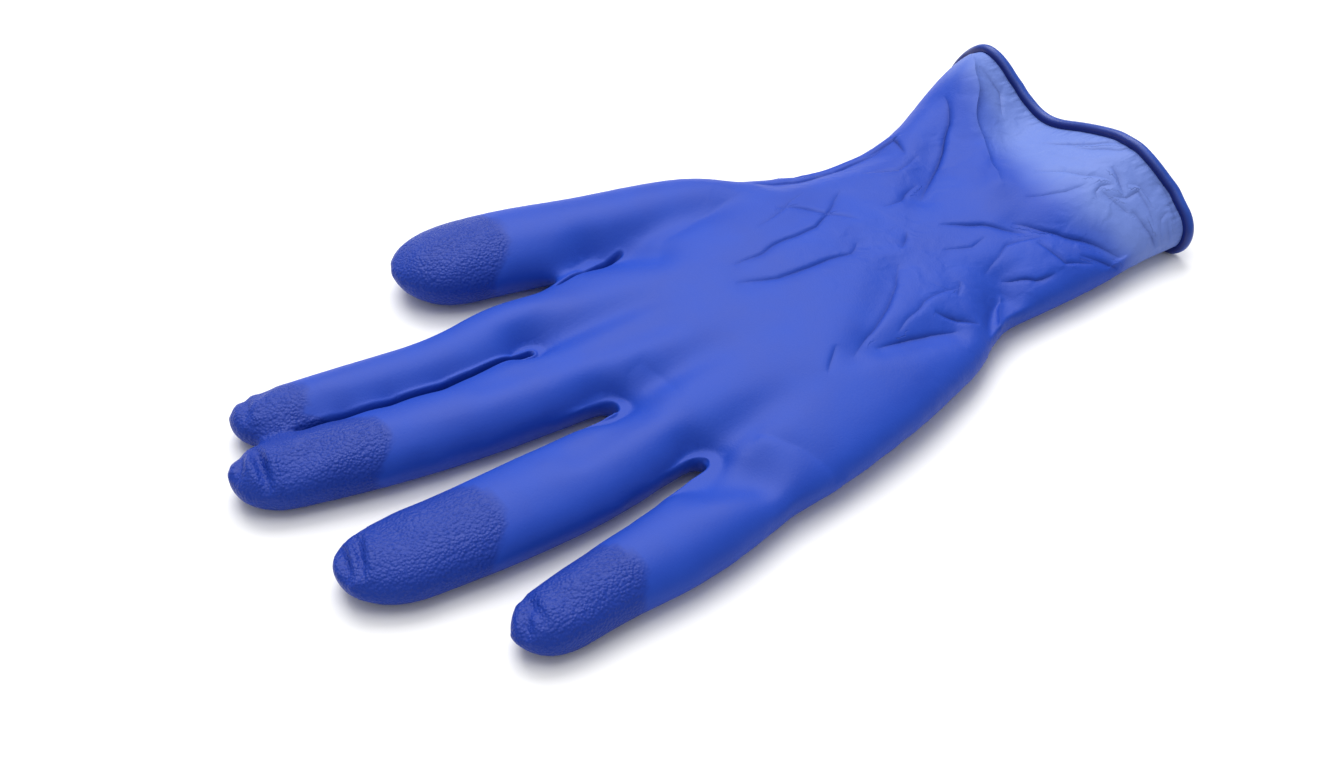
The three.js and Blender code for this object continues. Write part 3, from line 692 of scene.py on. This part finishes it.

# %% [markdown]
# ## Where the film changes
# Four things change over the surface: the fingertips have a fine grip, the cuff is thinner
# and paler where light shines through a single layer, which is partly painted light, wrist
# and cuff are crinkled in patches, and the film gathers in tiny puckers where the bead was
# rolled. Each is written on the points as an attribute from 0 to 1, which a material can
# read, because a pattern that follows the hand would be hard to draw with a plain texture.
# The creases' distances and depths and the slots, which the material paints in shade, go
# with them.

# %% Attributes for grip, pale cuff, crinkles and rim
GRIP_STARTS = {"thumb": 0.62, "index": 0.74, "middle": 0.55, "ring": 0.52, "little": 0.5}
PALE_LINE = np.array(((-54, 136), (-26, 132), (-21, 127), (-11, 124), (-1, 126),
                      (11, 127), (26, 128), (42, 134), (74, 141)))  # y and x where it starts
GRIP_CURVE, GRIP_WAVER, GRIP_SOFT, GRIP_HALF_WIDTH = 0.1, 1.2, (-1.0, 1.2), 1.35
PALE_RAGS, PALE_SOFT = ((3.0, 16, 9), (1.4, 6, 10)), (-4.0, 9.0)  # rags: reach, wave, seed
WRIST_CRINKLES, CUFF_CRINKLES = 0.55, 0.4
CRINKLES_FROM, CRINKLES_ABOVE, PUCKERS_FROM = (46, 84), (3, 6), (-7.0, -1.0)


def grip_mask(co):
    """The fingertips, up to a curved edge that wavers a little."""
    mask = np.zeros(len(co))
    for name, start in GRIP_STARTS.items():
        s, q = finger_share(co, name)
        long = FINGERS[name][0] * FINGER_LENGTH
        edge = (s - start - GRIP_CURVE * q**2) * long + GRIP_WAVER * noise_at(co, 9, 8)
        mask = np.maximum(mask, smoothstep(edge, *GRIP_SOFT) * (np.abs(q) < GRIP_HALF_WIDTH))
    return mask


def thin_lit_through_mask(co):
    """The thin film beyond the pale line, paler partly by painted light shining through, with a
    ragged soft edge.
    """
    line = np.interp(co[:, 1], PALE_LINE[:, 0], PALE_LINE[:, 1])
    beyond = co[:, 0] - line
    for reach, wave, seed in PALE_RAGS:
        beyond = beyond + reach * noise_at(co, wave, seed)
    return smoothstep(beyond, *PALE_SOFT)


def crinkle_mask(co):
    """Where the film is crinkled: in patches at wrist and cuff, and all along the rim."""
    patches = 0.45 + 0.9 * noise_at(co, 24, 11)
    wrist = WRIST_CRINKLES * smoothstep(co[:, 0], *CRINKLES_FROM) * np.clip(patches, 0, 1)
    both = np.maximum(wrist, CUFF_CRINKLES * thin_lit_through_mask(co))
    return np.clip(both * smoothstep(co[:, 2], *CRINKLES_ABOVE), 0, 1)


def rim_mask(co):
    """How near the bead is, from 0 at seven millimetres to 1 at one."""
    overhang = RIM_OVERHANG * (np.minimum(co[:, 2] / CUFF_HEIGHT, 1) - 1)
    edge = HAND_LENGTH - RIM_SKEW * cuff_place(co)[1] + overhang
    return smoothstep(co[:, 0] - edge, *PUCKERS_FROM)


def film_object(shape, name):
    """The skin as an object in metres, with its masks and fields as attributes."""
    mesh = bpy.data.meshes.new(name)
    shape.to_mesh(mesh)
    co = np.array([v.co for v in mesh.vertices])
    masks = {"grip": grip_mask(co), "thin_lit_through": thin_lit_through_mask(co),
             "crinkle": crinkle_mask(co), "rim": rim_mask(co)}
    for key, values in {**masks, **fields}.items():
        layer = mesh.attributes.new(key, "FLOAT", "POINT")
        layer.data.foreach_set("value", values.astype(np.float32))
    mesh.vertices.foreach_set("co", ((co - HAND_MIDDLE) * MM).ravel())
    mesh.shade_smooth()
    mesh.update()
    return link_object(name, mesh)


FILM_THICKNESS = 0.3
film = film_object(skin, "film")
wall = film.modifiers.new("wall", "SOLIDIFY")
wall.thickness, wall.offset, wall.use_rim = FILM_THICKNESS * MM, -1.0, True
outside = sum(len(face.vertices) - 2 for face in film.data.polygons)
print("film:", len(film.data.polygons), "faces outside, triangles in all:", 2 * outside)

# %% [markdown]
# ## The rolled bead
# As the last step of dipping, the film's edge is rolled back on itself and stays as a round
# bead. A bead is a tube along a closed path, so a small bmesh circle is extruded along the
# open edge of the skin, turned at each step to stand square to the path, and its last ring
# is bridged to its first. Its half that faces the lamp is marked by an attribute, so that
# the material can paint the other half in shade.

# %% Bead
def open_edge(shape):
    """The points of the skin's open edge, in order."""
    edges = [edge for edge in shape.edges if edge.is_boundary]
    beside = {}
    for edge in edges:
        for vert in edge.verts:
            beside.setdefault(vert, []).append(edge.other_vert(vert))
    start = edges[0].verts[0]
    loop, before, here = [start], None, start
    while True:
        after = next(v for v in beside[here] if v is not before)
        if after is start:
            return np.array([v.co for v in loop])
        loop.append(after)
        before, here = here, after


def even_loop(points, count, rounds):
    """A closed path resampled to even steps and smoothed."""
    closed = np.vstack((points, points[:1]))
    run = np.concatenate(([0], np.cumsum(np.linalg.norm(np.diff(closed, axis=0), axis=1))))
    at = np.arange(count) / count * run[-1]
    path = np.column_stack([np.interp(at, run, closed[:, k]) for k in range(3)])
    for _ in range(rounds):
        path = 0.5 * path + 0.25 * (np.roll(path, 1, 0) + np.roll(path, -1, 0))
    return path


BEAD_STEPS, BEAD_SIDES, BEAD_SHIFT = 260, 14, 0.45
LIT_SIDE_FORWARD, LIT_SIDE_OUTWARD, LIT_SIDE_EDGE = 0.8, 0.6, 0.5  # which way the lit side faces; the other side gets painted shade
rim = even_loop(open_edge(skin), BEAD_STEPS, 4)
skin.free()
middle_of_rim = rim.mean(0)
tangents = np.roll(rim, -1, 0) - np.roll(rim, 1, 0)
tangents /= np.linalg.norm(tangents, axis=1)[:, None]
forward = np.array((1.0, 0, 0)) - tangents * tangents[:, :1]
forward /= np.linalg.norm(forward, axis=1)[:, None]
outward = np.cross(tangents, forward)
outward *= np.sign((outward * (rim - middle_of_rim)).sum(1).mean())
rim = rim + BEAD_SHIFT * outward
rim[:, 2] = np.maximum(rim[:, 2], BEAD_RADIUS)
turn = 2 * np.pi * np.arange(BEAD_SIDES)[:, None] / BEAD_SIDES
rings = [(p + BEAD_RADIUS * (np.cos(turn) * f + np.sin(turn) * o) - HAND_MIDDLE) * MM
         for p, f, o in zip(rim, forward, outward)]
bead_shape = extrude_rings(bmesh.new(), rings, closed=True)
bmesh.ops.recalc_face_normals(bead_shape, faces=bead_shape.faces)
bead_mesh = bpy.data.meshes.new("bead")
bead_shape.to_mesh(bead_mesh)
bead_shape.free()
bead_mesh.shade_smooth()
bead_lit_side = bead_mesh.attributes.new("bead_lit_side", "FLOAT", "POINT")
bead_co = np.array([v.co for v in bead_mesh.vertices]) / MM + HAND_MIDDLE
nearest = np.argmin(((bead_co[:, None, :] - rim[None, :, :]) ** 2).sum(2), axis=1)
# The half of the bead that faces the lamp is marked, so that the other half gets painted shade.
lit_side_way = (LIT_SIDE_FORWARD * forward + LIT_SIDE_OUTWARD * outward)[nearest]
faced = ((bead_co - rim[nearest]) * lit_side_way).sum(1) / BEAD_RADIUS
bead_lit_side.data.foreach_set("value", smoothstep(faced, -LIT_SIDE_EDGE, LIT_SIDE_EDGE).astype(np.float32))
bead = link_object("bead", bead_mesh)
print("bead path, mm:", round(float(np.linalg.norm(np.diff(rim, axis=0), axis=1).sum()), 1))

# %% [markdown]
# ## The blue of the film
# Nitrile is dyed through, a saturated blue with a satin skin, never quite even: the dip
# leaves faint clouds, and thin or stretched places are lighter. The clouds and the fine
# grain of the skin are the same on film and bead, so they are one node group that puts out
# values only. Its scales are those of the real thing, in waves per metre.

# %% Node helpers and the shared skin
def add_node(tree, kind, inputs=(), **settings):
    """A node with its settings, and its inputs set to values or linked to sockets."""
    made = tree.nodes.new(kind)
    for key, value in settings.items():
        setattr(made, key, value)
    for key, value in dict(inputs).items():
        if isinstance(value, bpy.types.NodeSocket):
            tree.links.new(value, made.inputs[key])
        else:
            made.inputs[key].default_value = value
    return made


def math_node(tree, operation, *values):
    return add_node(tree, "ShaderNodeMath", dict(enumerate(values)), operation=operation).outputs[0]


def attribute(tree, name):
    """The value that the mesh holds under this name."""
    return add_node(tree, "ShaderNodeAttribute", attribute_name=name).outputs["Fac"]


def mix_colours(tree, share, first, second):
    """A colour between two others, each a value or a socket."""
    inputs = {0: share, 6: first, 7: second}
    return add_node(tree, "ShaderNodeMix", inputs, data_type="RGBA").outputs[2]


def new_group(name, inputs, outputs):
    group = bpy.data.node_groups.new(name, "ShaderNodeTree")
    for label, kind, value in inputs:
        socket = group.interface.new_socket(name=label, in_out="INPUT", socket_type=kind)
        if value is not None:
            socket.default_value = value
    for label, kind in outputs:
        group.interface.new_socket(name=label, in_out="OUTPUT", socket_type=kind)
    return group, group.nodes.new("NodeGroupInput"), group.nodes.new("NodeGroupOutput")


skin_group, given, wanted = new_group(
    "nitrile_skin",
    (("Place", "NodeSocketVector", None), ("Cloud Waves", "NodeSocketFloat", 70.0),
     ("Grain Waves", "NodeSocketFloat", 2200.0)),
    (("Clouds", "NodeSocketFloat"), ("Grain", "NodeSocketFloat")))
clouds = add_node(skin_group, "ShaderNodeTexNoise",
                  {"Vector": given.outputs["Place"], "Scale": given.outputs["Cloud Waves"],
                   "Detail": 3.0, "Roughness": 0.55})
spread = add_node(skin_group, "ShaderNodeMapRange",
                  {"Value": clouds.outputs[0], "From Min": 0.3, "From Max": 0.7})
grain = add_node(skin_group, "ShaderNodeTexNoise",
                 {"Vector": given.outputs["Place"], "Scale": given.outputs["Grain Waves"],
                  "Detail": 1.0})
skin_group.links.new(spread.outputs[0], wanted.inputs["Clouds"])
skin_group.links.new(grain.outputs[0], wanted.inputs["Grain"])
print("group:", skin_group.name, [s.name for s in skin_group.interface.items_tree])

# %% [markdown]
# ## Colour of the film
# The clouds lead between two blues that lie close together. The grip at the fingertips is
# deeper, most of all along its edge, and its darker blue also paints the shade that falls on
# the fingertips. Near the rim the film is thinner and a single layer lets light through, so a
# milky blue is painted there, partly the film's own paler tone and partly painted light.
# Creases and slots get painted shade: a narrow dark line follows each crease, worked out from
# the distance to it, so that it stays sharper than the squares of the mesh, and the slots are
# filled with the same dark blue.

# %% Film material: colour
DEEP_BLUE, FILM_BLUE = (0.009, 0.047, 0.37, 1.0), (0.011, 0.055, 0.41, 1.0)
# Painted shade: the valley blue darkens the creases and fills the slots.
GRIP_AND_SHADE_BLUE, PAINTED_SHADE_BLUE = (0.003, 0.018, 0.2, 1.0), (0.004, 0.016, 0.16, 1.0)
# Painted light: the pale blue stands partly for light shining through the thin cuff.
THIN_LIT_THROUGH_BLUE = (0.15, 0.225, 0.56, 1.0)
# The grip share sets the grip's own deeper tone and also the painted shade on the fingertips.
GRIP_AND_SHADE_SHARE, GRIP_EDGE, LIT_THROUGH_SHARE = 0.52, 0.8, 0.8
LINE_SHARPNESS, LINE_SHADE_SHARE, LINE_LOSS_IN_PALE = 2.6, 1.1, 0.55

film_material = plain_material("nitrile_film", FILM_BLUE[:3], 0.5)
tree = film_material.node_tree
calc = partial(math_node, tree)
surface = tree.nodes["Principled BSDF"]
surface.inputs["IOR"].default_value = 1.5
surface.inputs["Specular IOR Level"].default_value = 0.2
place = add_node(tree, "ShaderNodeTexCoord").outputs["Object"]
skin_look = add_node(tree, "ShaderNodeGroup", {"Place": place}, node_tree=skin_group)
grip, thin_lit_through, slot = (attribute(tree, name) for name in ("grip", "thin_lit_through", "slot"))

blue = mix_colours(tree, skin_look.outputs["Clouds"], DEEP_BLUE, FILM_BLUE)
# The grip's darker blue is partly its own deeper tone and partly painted shade on the fingertips.
blue = mix_colours(tree, calc("MULTIPLY", grip, GRIP_AND_SHADE_SHARE), blue, GRIP_AND_SHADE_BLUE)
# Painted light: near the rim the thin film is paler, partly its own thinner tone and partly light
# shining through it.
blue = mix_colours(tree, calc("MULTIPLY", thin_lit_through, LIT_THROUGH_SHARE), blue, THIN_LIT_THROUGH_BLUE)
grip_edge = calc("MULTIPLY", grip, calc("SUBTRACT", 1.0, grip))
blue = mix_colours(tree, calc("MULTIPLY", grip_edge, GRIP_EDGE), blue, GRIP_AND_SHADE_BLUE)

# Painted shade: a dark line along each crease and a dark fill in the slots.
away = calc("ABSOLUTE", attribute(tree, "crease_side"))
line = calc("EXPONENT", calc("MULTIPLY", away, -LINE_SHARPNESS))
line = calc("MULTIPLY", line, attribute(tree, "crease_depth"))
line_shade_share = calc("MULTIPLY_ADD", thin_lit_through, -LINE_LOSS_IN_PALE, LINE_SHADE_SHARE)
painted_shade = calc("MAXIMUM", slot, calc("MULTIPLY", line, line_shade_share))
blue = mix_colours(tree, calc("MINIMUM", 1.0, painted_shade), blue, PAINTED_SHADE_BLUE)
tree.links.new(blue, surface.inputs["Base Color"])
print("film colour:", len(tree.nodes), "nodes")

# %% [markdown]
# ## Relief and gloss of the film
# The fingertips are roughened on the former so that they grip: their pebbles are about two
# thirds of a millimetre wide, drawn with a Voronoi pattern. Crinkles are the edges of a
# larger, bent Voronoi net, in two sizes. The puckers at the bead are noise, stretched along
# the glove. All of them are heights in millimetres, and one Bump node makes slopes of them.

# %% Film material: relief and gloss
PEBBLES_IN_A_METRE, PEBBLE_HEIGHT, GRAIN_HEIGHT = 1500.0, 0.26, 0.045
CRINKLES = ((85.0, 0.34), (170.0, 0.16))  # cells in a metre, height
NET_BEND, NET_BEND_WAVES = 0.012, 120.0
PUCKER_WAVES, PUCKER_HEIGHT = (120.0, 620.0, 620.0), 0.7
LINE_DEPTH, PEBBLE_TOP = 0.5, 0.6
SATIN, CLOUD_SATIN, GRIP_SATIN = 0.46, 0.06, -0.04  # roughness, and what is added to it

cells = add_node(tree, "ShaderNodeTexVoronoi",
                 {"Vector": place, "Scale": PEBBLES_IN_A_METRE, "Smoothness": 0.4},
                 feature="SMOOTH_F1")
pebbles = calc("MULTIPLY", calc("SUBTRACT", PEBBLE_TOP, cells.outputs["Distance"]), grip)

bend = add_node(tree, "ShaderNodeTexNoise",
                {"Vector": place, "Scale": NET_BEND_WAVES, "Detail": 2.0}).outputs["Color"]
bend = add_node(tree, "ShaderNodeVectorMath", {0: bend, "Scale": NET_BEND},
                operation="SCALE").outputs[0]
bent = add_node(tree, "ShaderNodeVectorMath", {0: place, 1: bend}, operation="ADD").outputs[0]
crinkles = 0.0
for waves, high in CRINKLES:
    net = add_node(tree, "ShaderNodeTexVoronoi", {"Vector": bent, "Scale": waves},
                   feature="DISTANCE_TO_EDGE")
    slope = add_node(tree, "ShaderNodeMapRange",
                     {"Value": net.outputs["Distance"], "From Max": 0.3},
                     interpolation_type="SMOOTHERSTEP").outputs[0]
    crinkles = calc("MULTIPLY_ADD", slope, high, crinkles)
crinkles = calc("MULTIPLY", crinkles, attribute(tree, "crinkle"))

along = add_node(tree, "ShaderNodeMapping", {"Vector": place, "Scale": PUCKER_WAVES}).outputs[0]
puckers = add_node(tree, "ShaderNodeTexNoise",
                   {"Vector": along, "Scale": 1.0, "Detail": 1.0}).outputs[0]
pucker_height = calc("MULTIPLY", attribute(tree, "rim"), PUCKER_HEIGHT)
puckers = calc("MULTIPLY", puckers, pucker_height)

height = calc("MULTIPLY_ADD", skin_look.outputs["Grain"], GRAIN_HEIGHT,
              calc("MULTIPLY", pebbles, PEBBLE_HEIGHT))
height = calc("ADD", height, calc("ADD", crinkles, puckers))
height = calc("MULTIPLY_ADD", line, -LINE_DEPTH, height)
bump = add_node(tree, "ShaderNodeBump", {"Strength": 1.0, "Distance": MM, "Height": height})
tree.links.new(bump.outputs["Normal"], surface.inputs["Normal"])

satin = calc("MULTIPLY_ADD", skin_look.outputs["Clouds"], CLOUD_SATIN, SATIN)
satin = calc("MULTIPLY_ADD", grip, GRIP_SATIN, satin)
tree.links.new(satin, surface.inputs["Roughness"])
film.data.materials.append(film_material)
print("film material:", len(tree.nodes), "nodes")

# %% [markdown]
# ## Finish of the bead
# The bead is many layers of the same film, so no light passes and it looks deeper and a
# little glossier than the cuff beside it. Its inner half, by the film, is painted darker
# still, as painted shade on the side turned from the lamp. It takes the same skin group with
# finer clouds.

# %% Bead material
# Painted shade: the bead's inner half is a darker copy of its lit blues.
BEAD_SHADE_BLUE = (0.004, 0.012, 0.13, 1.0)
BEAD_LIT_BLUES = ((0.01, 0.045, 0.28, 1.0), (0.014, 0.06, 0.36, 1.0))
BEAD_SATIN, BEAD_CLOUD_SATIN = 0.3, 0.08

bead_material = plain_material("nitrile_bead", FILM_BLUE[:3], 0.34)
tree = bead_material.node_tree
surface = tree.nodes["Principled BSDF"]
surface.inputs["IOR"].default_value = 1.5
surface.inputs["Specular IOR Level"].default_value = 0.3
place = add_node(tree, "ShaderNodeTexCoord").outputs["Object"]
bead_look = add_node(tree, "ShaderNodeGroup", {"Place": place, "Cloud Waves": 160.0},
                     node_tree=skin_group)
bead_lit_blue = mix_colours(tree, bead_look.outputs["Clouds"], *BEAD_LIT_BLUES)
# Painted shade on the bead's inner half, lit blues on the half that faces the lamp.
blue = mix_colours(tree, attribute(tree, "bead_lit_side"), BEAD_SHADE_BLUE, bead_lit_blue)
tree.links.new(blue, surface.inputs["Base Color"])
bump = add_node(tree, "ShaderNodeBump", {"Strength": 0.4, "Distance": 0.1 * MM,
                                         "Height": bead_look.outputs["Grain"]})
tree.links.new(bump.outputs["Normal"], surface.inputs["Normal"])
gloss = math_node(tree, "MULTIPLY_ADD", bead_look.outputs["Clouds"], BEAD_CLOUD_SATIN, BEAD_SATIN)
tree.links.new(gloss, surface.inputs["Roughness"])
bead.data.materials.append(bead_material)
print("bead material:", len(tree.nodes), "nodes")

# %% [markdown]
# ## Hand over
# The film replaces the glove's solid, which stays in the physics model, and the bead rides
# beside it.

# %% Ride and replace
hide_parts("glove")
for piece in (film, bead):
    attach(piece, "root")
bpy.context.view_layer.update()
